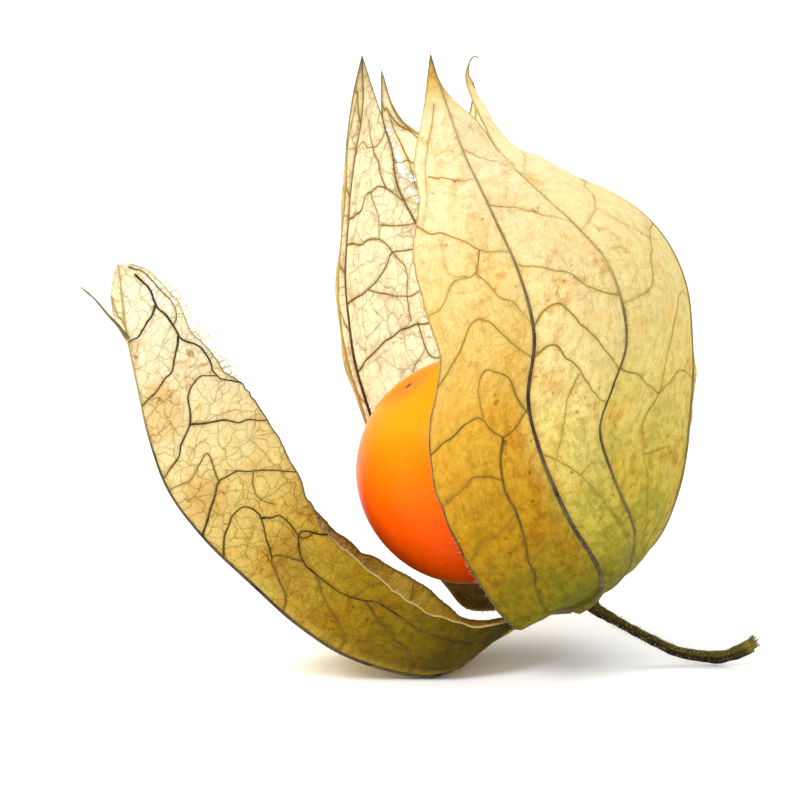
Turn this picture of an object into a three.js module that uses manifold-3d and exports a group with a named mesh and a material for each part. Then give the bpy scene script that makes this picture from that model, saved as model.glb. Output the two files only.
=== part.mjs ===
// A ripe cape gooseberry (physalis) lying in its torn-open husk, as picked.
// Units are millimetres and +Z is up. The shapes are laid out round the berry's centre, with X to the right
// and Y away from the side where the husk is open. At the end the whole group is stood on z = 0, centred.
//
// The husk is a calyx of five papery sepals on one stem. Four still stand round the berry. The fifth is torn
// free along both of its seams and peeled back, so it lies on the surface and carries the fruit with the stem.
import * as THREE from 'three';
import { mergeVertices } from 'three/addons/utils/BufferGeometryUtils.js';
import Module from 'manifold-3d';

// ---- driving dimensions ----
const berryWidth = 20;              // across the berry's waist
const berryLength = 19.8;           // from stem scar to style scar
const berryDimple = 0.35;           // how far both scars are sunk
const berryAxis = new THREE.Vector3(-0.56, -0.12, 0.81).normalize();  // from stem scar to style scar
const paper = 0.4;                  // sepal thickness
const seamGap = 0.35;               // each sepal stops this far short of a seam
const husk = new THREE.Vector3(10.3, 0.4, -11.5);  // centre of the ring where the sepals grow from the stem
const ringRadius = 2;
const stalkRadius = 1.5;            // receptacle, between the stem and the berry
const scarGap = 0.3;                // between the receptacle and the berry
const sheetRows = 30;               // steps from base to tip of a sepal
const sheetColumns = 12;            // steps across a sepal
const tipEnd = 0.985;               // a sepal's tip is cut blunt at this share of its length

const paperColour = 0xd9c98a;

const wasm = await Module();
wasm.setup();

// ---- helpers ----
const point = ([x, y, z]) => new THREE.Vector3(x, y, z);
const smoothCurve = (points) => new THREE.CatmullRomCurve3(points, false, 'centripetal');

// A point on the ring where the sepals start, by its angle round the berry's axis. 0 degrees is to the right.
const ringAcross = new THREE.Vector3(1, 0, 0).addScaledVector(berryAxis, -berryAxis.x).normalize();
const ringAway = new THREE.Vector3().crossVectors(berryAxis, ringAcross);
function ringPoint(degrees) {
  const angle = THREE.MathUtils.degToRad(degrees);
  return husk.clone()
    .addScaledVector(ringAcross, ringRadius * Math.cos(angle))
    .addScaledVector(ringAway, ringRadius * Math.sin(angle));
}

// A rib from the ring at an angle through its hand-set points.
const rib = (degrees, ...points) => [ringPoint(degrees), ...points.map(point)];

// Closed solid from a grid of outer and inner points, both indexed [row][column].
function solidSheet(outer, inner) {
  const rows = outer.length, columns = outer[0].length;
  const vertices = [...outer.flat(), ...inner.flat()].flatMap((p) => [p.x, p.y, p.z]);
  const at = (side, row, column) => (side * rows + row) * columns + column;
  const faces = [];
  const quad = (a, b, c, d) => faces.push(a, b, c, a, c, d);
  for (let r = 0; r < rows - 1; r++) {
    for (let c = 0; c < columns - 1; c++) {
      quad(at(0, r, c), at(0, r, c + 1), at(0, r + 1, c + 1), at(0, r + 1, c));
      quad(at(1, r, c), at(1, r + 1, c), at(1, r + 1, c + 1), at(1, r, c + 1));
    }
  }
  for (let r = 0; r < rows - 1; r++) {
    quad(at(0, r, 0), at(0, r + 1, 0), at(1, r + 1, 0), at(1, r, 0));
    quad(at(0, r, columns - 1), at(1, r, columns - 1), at(1, r + 1, columns - 1), at(0, r + 1, columns - 1));
  }
  for (let c = 0; c < columns - 1; c++) {
    quad(at(0, 0, c), at(1, 0, c), at(1, 0, c + 1), at(0, 0, c + 1));
    quad(at(0, rows - 1, c), at(0, rows - 1, c + 1), at(1, rows - 1, c + 1), at(1, rows - 1, c));
  }
  return new THREE.BufferGeometry()
    .setAttribute('position', new THREE.Float32BufferAttribute(vertices, 3))
    .setIndex(faces);
}

// Round rod along a curve, with a radius for each share of its length and flat ends.
function rod(curve, radiusAt, steps, sides) {
  const frames = curve.computeFrenetFrames(steps, false);
  const vertices = [], faces = [];
  for (let s = 0; s <= steps; s++) {
    const centre = curve.getPointAt(s / steps);
    for (let k = 0; k < sides; k++) {
      const angle = 2 * Math.PI * k / sides;
      const p = centre.clone()
        .addScaledVector(frames.normals[s], radiusAt(s / steps) * Math.cos(angle))
        .addScaledVector(frames.binormals[s], radiusAt(s / steps) * Math.sin(angle));
      vertices.push(p.x, p.y, p.z);
    }
  }
  for (let s = 0; s < steps; s++) {
    for (let k = 0; k < sides; k++) {
      const a = s * sides + k, b = s * sides + (k + 1) % sides;
      faces.push(a, b, b + sides, a, b + sides, a + sides);
    }
  }
  const last = steps * sides;
  for (let k = 1; k < sides - 1; k++) faces.push(0, k + 1, k, last, last + k, last + k + 1);
  return new THREE.BufferGeometry()
    .setAttribute('position', new THREE.Float32BufferAttribute(vertices, 3))
    .setIndex(faces);
}

// Joins overlapping solids into one.
function join(...geometries) {
  const solids = geometries.map((geometry) => {
    const bare = geometry.clone();
    bare.deleteAttribute('normal');
    bare.deleteAttribute('uv');
    const merged = mergeVertices(bare, 1e-4);
    return new wasm.Manifold(new wasm.Mesh({
      numProp: 3,
      vertProperties: merged.attributes.position.array,
      triVerts: new Uint32Array(merged.index.array),
    }));
  });
  const mesh = solids.reduce((a, b) => a.add(b)).getMesh();
  return new THREE.BufferGeometry()
    .setAttribute('position', new THREE.BufferAttribute(mesh.vertProperties, 3))
    .setIndex(new THREE.BufferAttribute(mesh.triVerts, 1));
}

// ---- sepals ----
// A sepal runs from base to tip between a left and a right edge, as seen from outside, with a midrib between.
// Each half is a sheet stretched from the midrib to its edge and blown outwards by a few millimetres. Its crest
// is where it is blown the most, as a share of the way from the midrib to the edge.
function sepal({ left, midrib, right, blown, crest = [0.5, 0.5] }) {
  const lines = { left: smoothCurve(left), midrib: smoothCurve(midrib), right: smoothCurve(right) };

  function flat(across, along) {
    const spine = lines.midrib.getPointAt(along);
    const edge = (across < 0 ? lines.left : lines.right).getPointAt(along);
    return spine.lerp(edge, Math.abs(across));
  }

  function outward(across, along) {
    const step = 0.01;
    const side = across < 0 ? -1 : 1;
    const a = THREE.MathUtils.clamp(Math.abs(across), 0.1, 1 - step) * side;
    const b = THREE.MathUtils.clamp(along, step, 1 - step);
    const over = flat(a + step * side, b).sub(flat(a, b)).multiplyScalar(side);
    const up = flat(a, b + step).sub(flat(a, b - step));
    return over.cross(up).normalize();
  }

  const outer = [], inner = [];
  for (let r = 0; r <= sheetRows; r++) {
    const along = tipEnd * r / sheetRows;
    const swell = Math.sin(Math.PI * along) ** 1.1;
    const outerRow = [], innerRow = [];
    for (let c = 0; c <= sheetColumns; c++) {
      const share = 2 * c / sheetColumns - 1;
      const side = share < 0 ? 0 : 1;
      const width = flat(0, along).distanceTo(flat(side ? 1 : -1, along));
      const across = share * (1 - Math.min(0.5, seamGap / Math.max(width, 0.01)));
      const u = Math.abs(across);
      const normal = outward(across, along);
      const power = crest[side] / (1 - crest[side]);
      const bulge = (u ** power * (1 - u)) / (crest[side] ** power * (1 - crest[side]));
      const middle = flat(across, along).addScaledVector(normal, bulge * blown[side] * swell);
      outerRow.push(middle.clone().addScaledVector(normal, paper / 2));
      innerRow.push(middle.clone().addScaledVector(normal, -paper / 2));
    }
    outer.push(outerRow);
    inner.push(innerRow);
  }
  return solidSheet(outer, inner);
}

// Seams are shared by two neighbours up to the notch between their tips, where each has its own free edge.
const frontTip = [-3.5, 2.6, 36.3], rightTip = [0.5, 10.6, 35.6], backTip = [-7.8, 15.1, 33.2];
const leftTip = [-9.5, 11.5, 35];

const seamFrontRight = rib(324, [12.5, -1.1, -10.2], [13.9, -2.9, -7.9], [14.2, -4.8, -5.1], [14, -5.9, -3.5],
  [12.1, -8.4, 1.4], [10.9, -8.8, 5.7], [12, -8.5, 9.3], [13.2, -7.6, 13.1], [11.8, -6, 19.1], [8.9, -4, 22.4],
  [5.9, -1.5, 24.8], [2.4, 1.8, 27.9]);
const seamRightBack = rib(36, [13.4, 4.5, -9.8], [15.6, 9, -7.3], [17.2, 15.1, 1.2], [16.3, 17.1, 8.2],
  [13.1, 17.5, 14.8], [8.3, 16.6, 20.3], [2.8, 15, 24.7], [-1.2, 13.4, 26.7]);
const seamBackLeft = rib(108, [8.6, 5.4, -12.6], [6.2, 10, -11.6], [4, 14, -8.6], [2.6, 17.3, -3],
  [0.7, 19.3, 4.1], [-1.4, 19.4, 11.5], [-4.3, 18.1, 18], [-6.4, 16.6, 22.6], [-6.9, 15.3, 26],
  [-7.7, 14.7, 28.8]);

const sepals = {
  sepal_front: {
    left: rib(252, [7.9, -1.4, -12.4], [5.7, -3.4, -12.8], [4.2, -5, -13.1], [3, -6.4, -11.8], [1.4, -8.5, -9.2],
      [0.3, -10.1, -7], [-0.8, -11.8, -4.7], [-3.1, -11.7, 0.9], [-3.6, -10.6, 5.9], [-2.7, -9, 11.5],
      [-4.1, -7.2, 16.1], [-5, -5.5, 20.1], [-4.5, -3.6, 24.6], [-4.9, -2.2, 27.4], [-4.6, 0, 31.7], frontTip),
    midrib: rib(288, [11.4, -3.2, -9.9], [11.3, -5.8, -8], [10.2, -9.1, -5.2], [8.6, -11, -2.4], [7, -12.2, 1.1],
      [5.7, -12.7, 4.5], [4.7, -12.4, 8.9], [5.2, -11.3, 14.3], [3.9, -9.2, 19.3], [1.5, -6.1, 24.4],
      [-0.7, -2.9, 28.6], [-2.3, 0.2, 32.7], frontTip),
    right: [...seamFrontRight, ...[[0.6, 1.8, 30.5], [-1.6, 1.8, 32.5], [-2.8, 2.1, 34.2], frontTip].map(point)],
    blown: [1.2, 0.9],
  },
  sepal_right: {
    left: [...seamFrontRight, ...[[1.2, 5.3, 29.8], [0, 7.8, 31.9], [-0.3, 9.2, 33.7], rightTip].map(point)],
    midrib: rib(0, [13.3, 2, -9.9], [15.1, 1.5, -8.2], [17, 0.9, -5.6], [18.7, 1.9, -0.8], [19.4, 3, 4.7],
      [19.6, 4.3, 10.8], [19.1, 5.8, 15.4], [17.3, 7.4, 19.3], [13.8, 8.9, 22.5], [8.1, 9.8, 24.9],
      [3.6, 10.2, 26.8], [1.5, 10.5, 30.1], [0, 10.3, 33], rightTip),
    right: [...seamRightBack, ...[[0.1, 11.5, 30], [0.2, 10.7, 33], rightTip].map(point)],
    blown: [1.1, 1.2],
  },
  sepal_back: {
    left: [...seamRightBack, ...[[-4.3, 14, 27.5], [-6.5, 14.4, 29.4], backTip].map(point)],
    midrib: rib(72, [11.4, 5.4, -11.8], [11.4, 10, -10.6], [11.4, 14.6, -7.4], [10.9, 18.6, -1.4],
      [9, 20.8, 6.6], [5.8, 20.9, 14], [1.1, 19.2, 20.8], [-3.9, 16.8, 26.2], [-6.6, 15.5, 29.6], backTip),
    right: [...seamBackLeft, ...[[-7.8, 14.9, 30.8], backTip].map(point)],
    blown: [1.2, 1.2],
  },
  sepal_left: {
    left: [...seamBackLeft, ...[[-8.5, 12.8, 31.6], leftTip].map(point)],
    midrib: rib(144, [6.2, 5.2, -13.2], [2.2, 8.2, -12.7], [-2.2, 10.4, -10.8], [-6, 11.4, -6.3],
      [-8.1, 10.3, 0.4], [-10.2, 8.9, 8], [-11, 8.6, 14.5], [-10.7, 9.1, 20.9], [-10.2, 9.8, 25.7],
      [-9.5, 10.5, 30.1], leftTip),
    right: rib(178, [6.7, 2.3, -13], [3, 3.4, -13.5], [-0.2, 4.6, -13.7], [-1.9, 5.9, -12.1], [-3.5, 6.8, -10.3],
      [-5.8, 7.8, -7.3], [-7.8, 8.2, -1.9], [-9.5, 6.6, 4.1], [-11, 5.5, 9.6], [-11.6, 5.4, 15],
      [-11.3, 6.3, 19.8], [-10.9, 7.4, 24.1], [-10.8, 8.6, 27.9], [-10.3, 10, 31.7], leftTip),
    blown: [1.2, 0.5],
  },
  sepal_peeled: {
    left: rib(186, [6.7, 1.3, -13], [3.2, 2.9, -14.2], [-0.2, 4.3, -14.7], [-2.1, 6.4, -13.7],
      [-4.3, 7.6, -12.2], [-7, 8, -10.7], [-10.4, 7, -8.4], [-13.5, 5.5, -5.1], [-16.2, 4.1, -0.9],
      [-19.4, 3.3, 3.8], [-22.7, 2.4, 8.6], [-25.6, 2.2, 13.2], [-29.2, 4.4, 18.2]),
    midrib: rib(216, [6.9, -0.4, -12.8], [4.2, -1.8, -13.2], [2.8, -2.9, -13.6], [1.6, -4.1, -14.3],
      [0.5, -5, -15.3], [-1.2, -5.6, -16.4], [-3.5, -6, -17], [-7, -6.4, -16.4], [-11.3, -7.2, -14.6],
      [-15.1, -7.6, -11.9], [-19.1, -7.9, -8.1], [-22.9, -7.7, -4.4], [-26, -7.2, -0.3], [-27.7, -6.1, 4],
      [-28.8, -4.4, 8.3], [-29.9, -1.8, 12.9], [-30.8, 1.5, 18.6]),
    right: rib(244, [7.8, -0.6, -12.1], [5.7, -2, -12.3], [4.2, -3.6, -12.6], [3, -4.8, -12.5],
      [1.7, -5.9, -12.5], [0.4, -6.5, -12.5], [-1.1, -7, -11.9], [-2.7, -7.3, -11.3], [-5.4, -7.4, -9.9],
      [-8.3, -7.3, -7.6], [-11.3, -7.2, -5], [-12.9, -7, -3.3], [-14.3, -6.4, -0.3], [-16.5, -5.3, 3.9],
      [-18.9, -4.1, 7.5], [-22.2, -2.3, 11.2], [-24.4, -0.6, 14.4], [-26.4, 1, 16.6], [-28.1, 3.5, 18.3]),
    blown: [3.5, 1],
    crest: [0.66, 0.5],
  },
};
for (const shape of Object.values(sepals)) {
  for (const edge of ['left', 'midrib', 'right']) {
    shape[edge] = shape[edge].map((p) => (Array.isArray(p) ? point(p) : p));
  }
}

// A hair-thin fibre of the torn seam hangs off the peeled sepal near its tip.
function tornFibre() {
  const route = smoothCurve([[-28.6, -2.2, 11.4], [-29.7, -2.1, 12.2], [-30.6, -2.3, 13.4], [-31.5, -2.3, 14.4],
    [-32.5, -2.2, 15.6], [-33.7, -2.2, 16.7]].map(point));
  return rod(route, (share) => 0.3 - 0.18 * share, 10, 6);
}

// ---- berry ----
// A body of revolution, nearly a ball, a little sunk at both scars, then turned onto its axis and centred.
function berry() {
  const steps = 22, sides = 36;
  const profile = [];
  for (let s = 0; s <= steps; s++) {
    const angle = Math.PI * (s / steps - 0.5);
    const radius = berryWidth / 2 * Math.cos(angle) ** 0.97;
    const sunk = berryDimple * Math.exp(-((radius / 2.2) ** 2));
    const height = (berryLength / 2 - sunk) * Math.sin(angle);
    profile.push(new THREE.Vector2(s % steps ? radius : 0, height));
  }
  return new THREE.LatheGeometry(profile, sides)
    .applyQuaternion(new THREE.Quaternion().setFromUnitVectors(new THREE.Vector3(0, 1, 0), berryAxis))
    .center();
}

// ---- stem ----
// The stem bends off the husk, lies down on the surface and turns up at its cut end. Its top is the
// receptacle, which passes through the ring of sepals and ends under the berry's stem scar.
function stem() {
  const start = husk.clone().addScaledVector(berryAxis, -0.4);
  const route = smoothCurve([start, ...[[11.1, 0.3, -12.6], [12.3, 0.1, -13.3], [14.2, -0.3, -14.3],
    [16.2, -0.6, -15.3], [18.3, -1, -16.2], [20.4, -1.4, -16.5], [22.2, -1.7, -16.5],
    [23.7, -1.8, -16], [24.8, -1.9, -15.4]].map(point)]);
  const radiusAt = (share) => 0.46 + 0.2 * share ** 3 + 0.5 * (1 - share) ** 8;
  const stalk = rod(route, radiusAt, 26, 12);

  const reach = husk.length() - berryLength / 2 + berryDimple - scarGap;
  const profile = [[0, -0.9], [0.9, -0.9], [stalkRadius, -0.2], [stalkRadius, 0.6], [1.1, 1.4],
    [1.1, reach - 1], [1.6, reach - 0.5], [1.6, reach], [0, reach]].map(([r, h]) => new THREE.Vector2(r, h));
  const towardsBerry = husk.clone().negate().normalize();
  const receptacle = new THREE.LatheGeometry(profile, 20)
    .applyQuaternion(new THREE.Quaternion().setFromUnitVectors(new THREE.Vector3(0, 1, 0), towardsBerry))
    .translate(husk.x, husk.y, husk.z);
  return join(stalk, receptacle);
}

// ---- assembly ----
const group = new THREE.Group();
function add(name, geometry, color, roughness) {
  const mesh = new THREE.Mesh(geometry, new THREE.MeshStandardMaterial({ color, roughness, metalness: 0 }));
  mesh.name = name;
  group.add(mesh);
}

add('berry', berry(), 0xff8a00, 0.35);
add('stem', stem(), 0x4a4620, 0.8);
for (const [name, shape] of Object.entries(sepals)) {
  const sheet = sepal(shape);
  add(name, name === 'sepal_peeled' ? join(sheet, tornFibre()) : sheet, paperColour, 0.85);
}

const box = new THREE.Box3().setFromObject(group);
const centre = box.getCenter(new THREE.Vector3());
group.position.set(-centre.x, -centre.y, -box.min.z);

export default group;
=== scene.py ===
import math
import random

import bmesh
import bpy
import numpy as np
from mathutils import Matrix, Vector, noise


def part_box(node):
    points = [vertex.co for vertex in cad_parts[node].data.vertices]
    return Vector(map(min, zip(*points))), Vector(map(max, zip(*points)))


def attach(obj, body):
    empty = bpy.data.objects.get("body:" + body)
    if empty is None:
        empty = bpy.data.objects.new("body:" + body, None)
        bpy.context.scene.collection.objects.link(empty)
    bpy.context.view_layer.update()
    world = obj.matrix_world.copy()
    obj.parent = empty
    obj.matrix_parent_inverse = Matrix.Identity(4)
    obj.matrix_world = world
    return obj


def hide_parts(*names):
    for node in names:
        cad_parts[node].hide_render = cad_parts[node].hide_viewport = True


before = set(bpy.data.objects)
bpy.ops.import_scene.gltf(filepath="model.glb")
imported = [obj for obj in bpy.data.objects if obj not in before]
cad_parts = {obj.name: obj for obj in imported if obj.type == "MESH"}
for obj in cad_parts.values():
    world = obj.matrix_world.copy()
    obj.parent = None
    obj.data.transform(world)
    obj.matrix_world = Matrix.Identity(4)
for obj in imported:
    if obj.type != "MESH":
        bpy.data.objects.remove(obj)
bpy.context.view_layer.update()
mm = 0.001
berryLow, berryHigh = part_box("berry")
home = (Vector(berryLow) + Vector(berryHigh)) / 2


def tint(red, green, blue):
    # a display colour, 0 to 255, as the linear colour that the shaders take
    parts = [part / 255 for part in (red, green, blue)]
    return (*(c / 12.92 if c <= 0.04045 else ((c + 0.055) / 1.055) ** 2.4 for c in parts), 1)


class Value:
    # a number that changes over a surface: wraps a socket, so that maths is written as it reads

    def __init__(self, tree, socket):
        self.tree, self.socket = tree, socket

    def maths(self, operation, *values, clamp=False):
        node = self.tree.nodes.new("ShaderNodeMath")
        node.operation, node.use_clamp = operation, clamp
        for slot, value in zip(node.inputs, values):
            fill(self.tree, slot, value)
        return Value(self.tree, node.outputs[0])

    def __add__(self, other):
        return self.maths("ADD", self, other)

    def __radd__(self, other):
        return self.maths("ADD", other, self)

    def __sub__(self, other):
        return self.maths("SUBTRACT", self, other)

    def __rsub__(self, other):
        return self.maths("SUBTRACT", other, self)

    def __mul__(self, other):
        return self.maths("MULTIPLY", self, other)

    def __rmul__(self, other):
        return self.maths("MULTIPLY", other, self)

    def __truediv__(self, other):
        return self.maths("DIVIDE", self, other)

    def held(self):
        return self.maths("ADD", self, 0.0, clamp=True)

    def larger(self, other):
        return self.maths("MAXIMUM", self, other)


def fill(tree, slot, value):
    # links a value that changes over the surface, or sets a plain one
    if isinstance(value, Value):
        tree.links.new(value.socket, slot)
    else:
        slot.default_value = value


def setStops(bar, stops):
    while len(bar.elements) < len(stops):
        bar.elements.new(0.5)
    for element, (place, colour) in zip(bar.elements, stops):
        element.position, element.color = place, tint(*colour)


class Finish:
    # one material being built

    def __init__(self, name):
        self.material = bpy.data.materials.new(name)
        self.material.use_nodes = True
        self.tree = self.material.node_tree
        self.tree.nodes.clear()

    def node(self, kind, settings=None, **values):
        # inputs go by their names, or by number as at0, at1 and so on
        made = self.tree.nodes.new("ShaderNode" + kind)
        for name, value in (settings or {}).items():
            if name == "stops":
                setStops(made.color_ramp, value)
            else:
                setattr(made, name, value)
        for name, value in values.items():
            slot = int(name[2:]) if name.startswith("at") else name.replace("_", " ")
            fill(self.tree, made.inputs[slot], value)
        return made

    def out(self, node, name=0):
        return Value(self.tree, node.outputs[name])

    def attribute(self, name):
        return self.out(self.node("Attribute", {"attribute_name": name}), "Fac")

    def noise(self, place, scale, detail=3.0, roughness=0.55, spread="3D"):
        made = self.node("TexNoise", {"noise_dimensions": spread}, Vector=place, Scale=scale, Detail=detail,
                         Roughness=roughness)
        return self.out(made, "Fac")

    def between(self, value, low, high):
        # 0 below low, 1 above high, with a soft change between
        made = self.node("MapRange", {"interpolation_type": "SMOOTHSTEP"}, Value=value, From_Min=low,
                         From_Max=high)
        return self.out(made, "Result")

    def ramp(self, value, stops):
        return self.out(self.node("ValToRGB", {"stops": stops}, at0=value), "Color")

    def vectorMath(self, operation, first, second):
        return self.out(self.node("VectorMath", {"operation": operation}, at0=first, at1=second))

    def blend(self, share, first, second, kind="MIX"):
        made = self.node("Mix", {"data_type": "RGBA", "blend_type": kind}, at0=share, at6=first, at7=second)
        return self.out(made, 2)

    def stain(self, share, colour, shade):
        # multiplies the colour by the shade where the share is high
        return self.blend(share, colour, tint(*shade), "MULTIPLY")

    def finished(self, shader):
        last = self.node("OutputMaterial", Surface=self.out(shader))
        last.is_active_output = True
        return self.material


# Curves and tubes.
def smoothLine(points, count=500):
    # centripetal spline through the points, resampled evenly along its length
    given = np.array(points, float)
    given = np.vstack([2 * given[0] - given[1], given, 2 * given[-1] - given[-2]])
    t = np.linspace(0, 1, 24, endpoint=False)[:, None]
    pieces = []
    for a, b, c, d in zip(given, given[1:], given[2:], given[3:]):
        stepA, stepB, stepC = (max(np.sum((q - p) ** 2) ** 0.25, 1e-4) for p, q in ((a, b), (b, c), (c, d)))
        leave = ((b - a) / stepA - (c - a) / (stepA + stepB) + (c - b) / stepB) * stepB
        arrive = ((c - b) / stepB - (d - b) / (stepB + stepC) + (d - c) / stepC) * stepB
        pieces.append(
            b * (2 * t**3 - 3 * t**2 + 1) + c * (3 * t**2 - 2 * t**3)
            + leave * (t**3 - 2 * t**2 + t) + arrive * (t**3 - t**2)
        )
    dense = np.vstack([*pieces, given[-2:-1]])
    length = np.concatenate([[0], np.cumsum(np.linalg.norm(np.diff(dense, axis=0), axis=1))])
    even = np.linspace(0, length[-1], count)
    return np.stack([np.interp(even, length, dense[:, k]) for k in range(dense.shape[1])], 1)


def lineAt(line, share):
    place = np.clip(share, 0, 1) * (len(line) - 1)
    return np.stack([np.interp(place, np.arange(len(line)), line[:, k]) for k in range(3)], -1)


def frameAlong(path):
    # two directions square to the path at each of its points, turning as little as possible
    ahead = np.gradient(path, axis=0)
    ahead /= np.linalg.norm(ahead, axis=1, keepdims=True) + 1e-12
    side = np.cross(ahead[0], [0.3, 0.2, 1.0])
    sides = []
    for direction in ahead:
        side = side - direction * np.dot(side, direction)
        side = side / (np.linalg.norm(side) + 1e-12)
        sides.append(side)
    sides = np.array(sides)
    return sides, np.cross(ahead, sides)


def addTube(mesh, path, radii, sides=8, tone=0.5, ridges=0, ridgeDepth=0.0):
    # a grid wrapped round the path, with both ends drawn together
    path, radii = np.array(path), np.array(radii)
    across, over = frameAlong(path)
    path, across, over = (np.vstack([line[:1], line, line[-1:]]) for line in (path, across, over))
    radii = np.concatenate([[0], radii, [0]])
    tones = np.broadcast_to(np.array(tone, float), (len(path) - 2,))
    tones = np.concatenate([tones[:1], tones, tones[-1:]])
    layer = mesh.verts.layers.float["tone"]
    steps = len(path) - 1
    made = bmesh.ops.create_grid(mesh, x_segments=steps, y_segments=sides, size=1)["verts"]
    for vertex in made:
        ring = round((vertex.co.x + 1) / 2 * steps)
        turn = round((vertex.co.y + 1) / 2 * sides) % sides
        angle = 2 * math.pi * turn / sides
        reach = radii[ring] * (1 + ridgeDepth * math.cos(ridges * angle))
        spot = path[ring] + reach * (across[ring] * math.cos(angle) + over[ring] * math.sin(angle))
        vertex.co = Vector(spot) * mm + home
        vertex[layer] = tones[ring]


def roughRadii(radii, seed, amount=0.16, wave=4.5):
    return [r * (1 + amount * noise.noise(Vector((i / wave, seed * 3.7, 0)))) for i, r in enumerate(radii)]


def newMesh():
    mesh = bmesh.new()
    mesh.verts.layers.float.new("tone")
    return mesh


def finishPiece(mesh, name, material, closed=True, smooth=True):
    if closed:
        bmesh.ops.remove_doubles(mesh, verts=mesh.verts[:], dist=0.0005 * mm)
        bmesh.ops.dissolve_degenerate(mesh, edges=mesh.edges[:], dist=0.0002 * mm)
        bmesh.ops.recalc_face_normals(mesh, faces=mesh.faces[:])
    data = bpy.data.meshes.new(name)
    mesh.to_mesh(data)
    mesh.free()
    data.materials.append(material)
    if smooth:
        data.polygons.foreach_set("use_smooth", [True] * len(data.polygons))
    piece = bpy.data.objects.new(name, data)
    bpy.context.scene.collection.objects.link(piece)
    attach(piece, "root")
    return piece


# The husk. Its rib curves are those of the CAD sepals, with finer tips, and each rib starts on a ring where
# the husk grows from the stem.
husk = {
    "centre": (10.3, 0.4, -11.5),
    "axis": (-0.56, -0.12, 0.81),
    "ringRadius": 2.0,
    "paper": 0.08,        # thickness
    "columns": 100,
    "rows": 250,
    "quilting": 0.16,     # how far the paper stands out between its veins
    "quiltWidth": 1.1,
    "crumple": 0.13,
    "crumpleWidth": 0.6,
    "crumpleScale": 0.75,
    "waves": 0.42,        # slow rise and fall of the paper
    "waveLength": 5.5,
    "tears": (34, 120),   # coarse and fine tears along a torn edge
}
huskCentre = np.array(husk["centre"])
huskAxis = np.array(husk["axis"]) / np.linalg.norm(husk["axis"])
ringAcross = np.array([1, 0, 0]) - huskAxis * huskAxis[0]
ringAcross /= np.linalg.norm(ringAcross)
ringAway = np.cross(huskAxis, ringAcross)


def rib(degrees, *points):
    angle = math.radians(degrees)
    start = huskCentre + husk["ringRadius"] * (ringAcross * math.cos(angle) + ringAway * math.sin(angle))
    return [tuple(start), *points]


frontTip, backTip, leftTip = (-3.5, 2.6, 36.3), (-7.8, 15.1, 33.2), (-9.5, 11.5, 35)
rightHook = (0, 10.4, 34.6), (0.35, 10.5, 35.1), (0.8, 10.7, 35)
seamFrontRight = rib(324, (12.5, -1.1, -10.2), (13.9, -2.9, -7.9), (14.2, -4.8, -5.1), (14, -5.9, -3.5),
                     (12.1, -8.4, 1.4), (10.9, -8.8, 5.7), (12, -8.5, 9.3), (13.2, -7.6, 13.1),
                     (11.8, -6, 19.1), (8.9, -4, 22.4), (5.9, -1.5, 24.8), (2.4, 1.8, 27.9))
seamRightBack = rib(36, (13.4, 4.5, -9.8), (15.6, 9, -7.3), (17.2, 15.1, 1.2), (16.3, 17.1, 8.2),
                    (13.1, 17.5, 14.8), (8.3, 16.6, 20.3), (2.8, 15, 24.7), (-1.2, 13.4, 26.7))
seamBackLeft = rib(108, (8.6, 5.4, -12.6), (6.2, 10, -11.6), (4, 14, -8.6), (2.6, 17.3, -3),
                   (0.7, 19.3, 4.1), (-1.4, 19.4, 11.5), (-4.3, 18.1, 18), (-6.4, 16.6, 22.6),
                   (-6.9, 15.3, 26), (-7.7, 14.7, 28.8))

usualSepal = {
    "crest": (0.5, 0.5),          # where the left and the right half bulge most
    "end": 1.0,                   # where the paper ends
    "trim": {},                   # share of the width that is left at a torn edge
    "ragged": (0, 0),             # depth of the tears in the left and the right edge
    "veinSize": 1.0,
    "veinTone": 1.0,
    "midribTone": ((0, 0.85), (0.5, 0.95), (0.7, 0.65), (0.9, 0.35), (1, 0.95)),
    "netStrength": 1.0,
    "netEverywhere": False,
    "thin": (0.12, 0.6),          # share of the light that comes through, at the stem and at the tip
    "thinFrom": (0.12, 0.7),      # where that share starts to rise and where it has risen
    "lightThrough": (255, 245, 205),
    "stains": (),                 # place, reach, colour and strength
}

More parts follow.
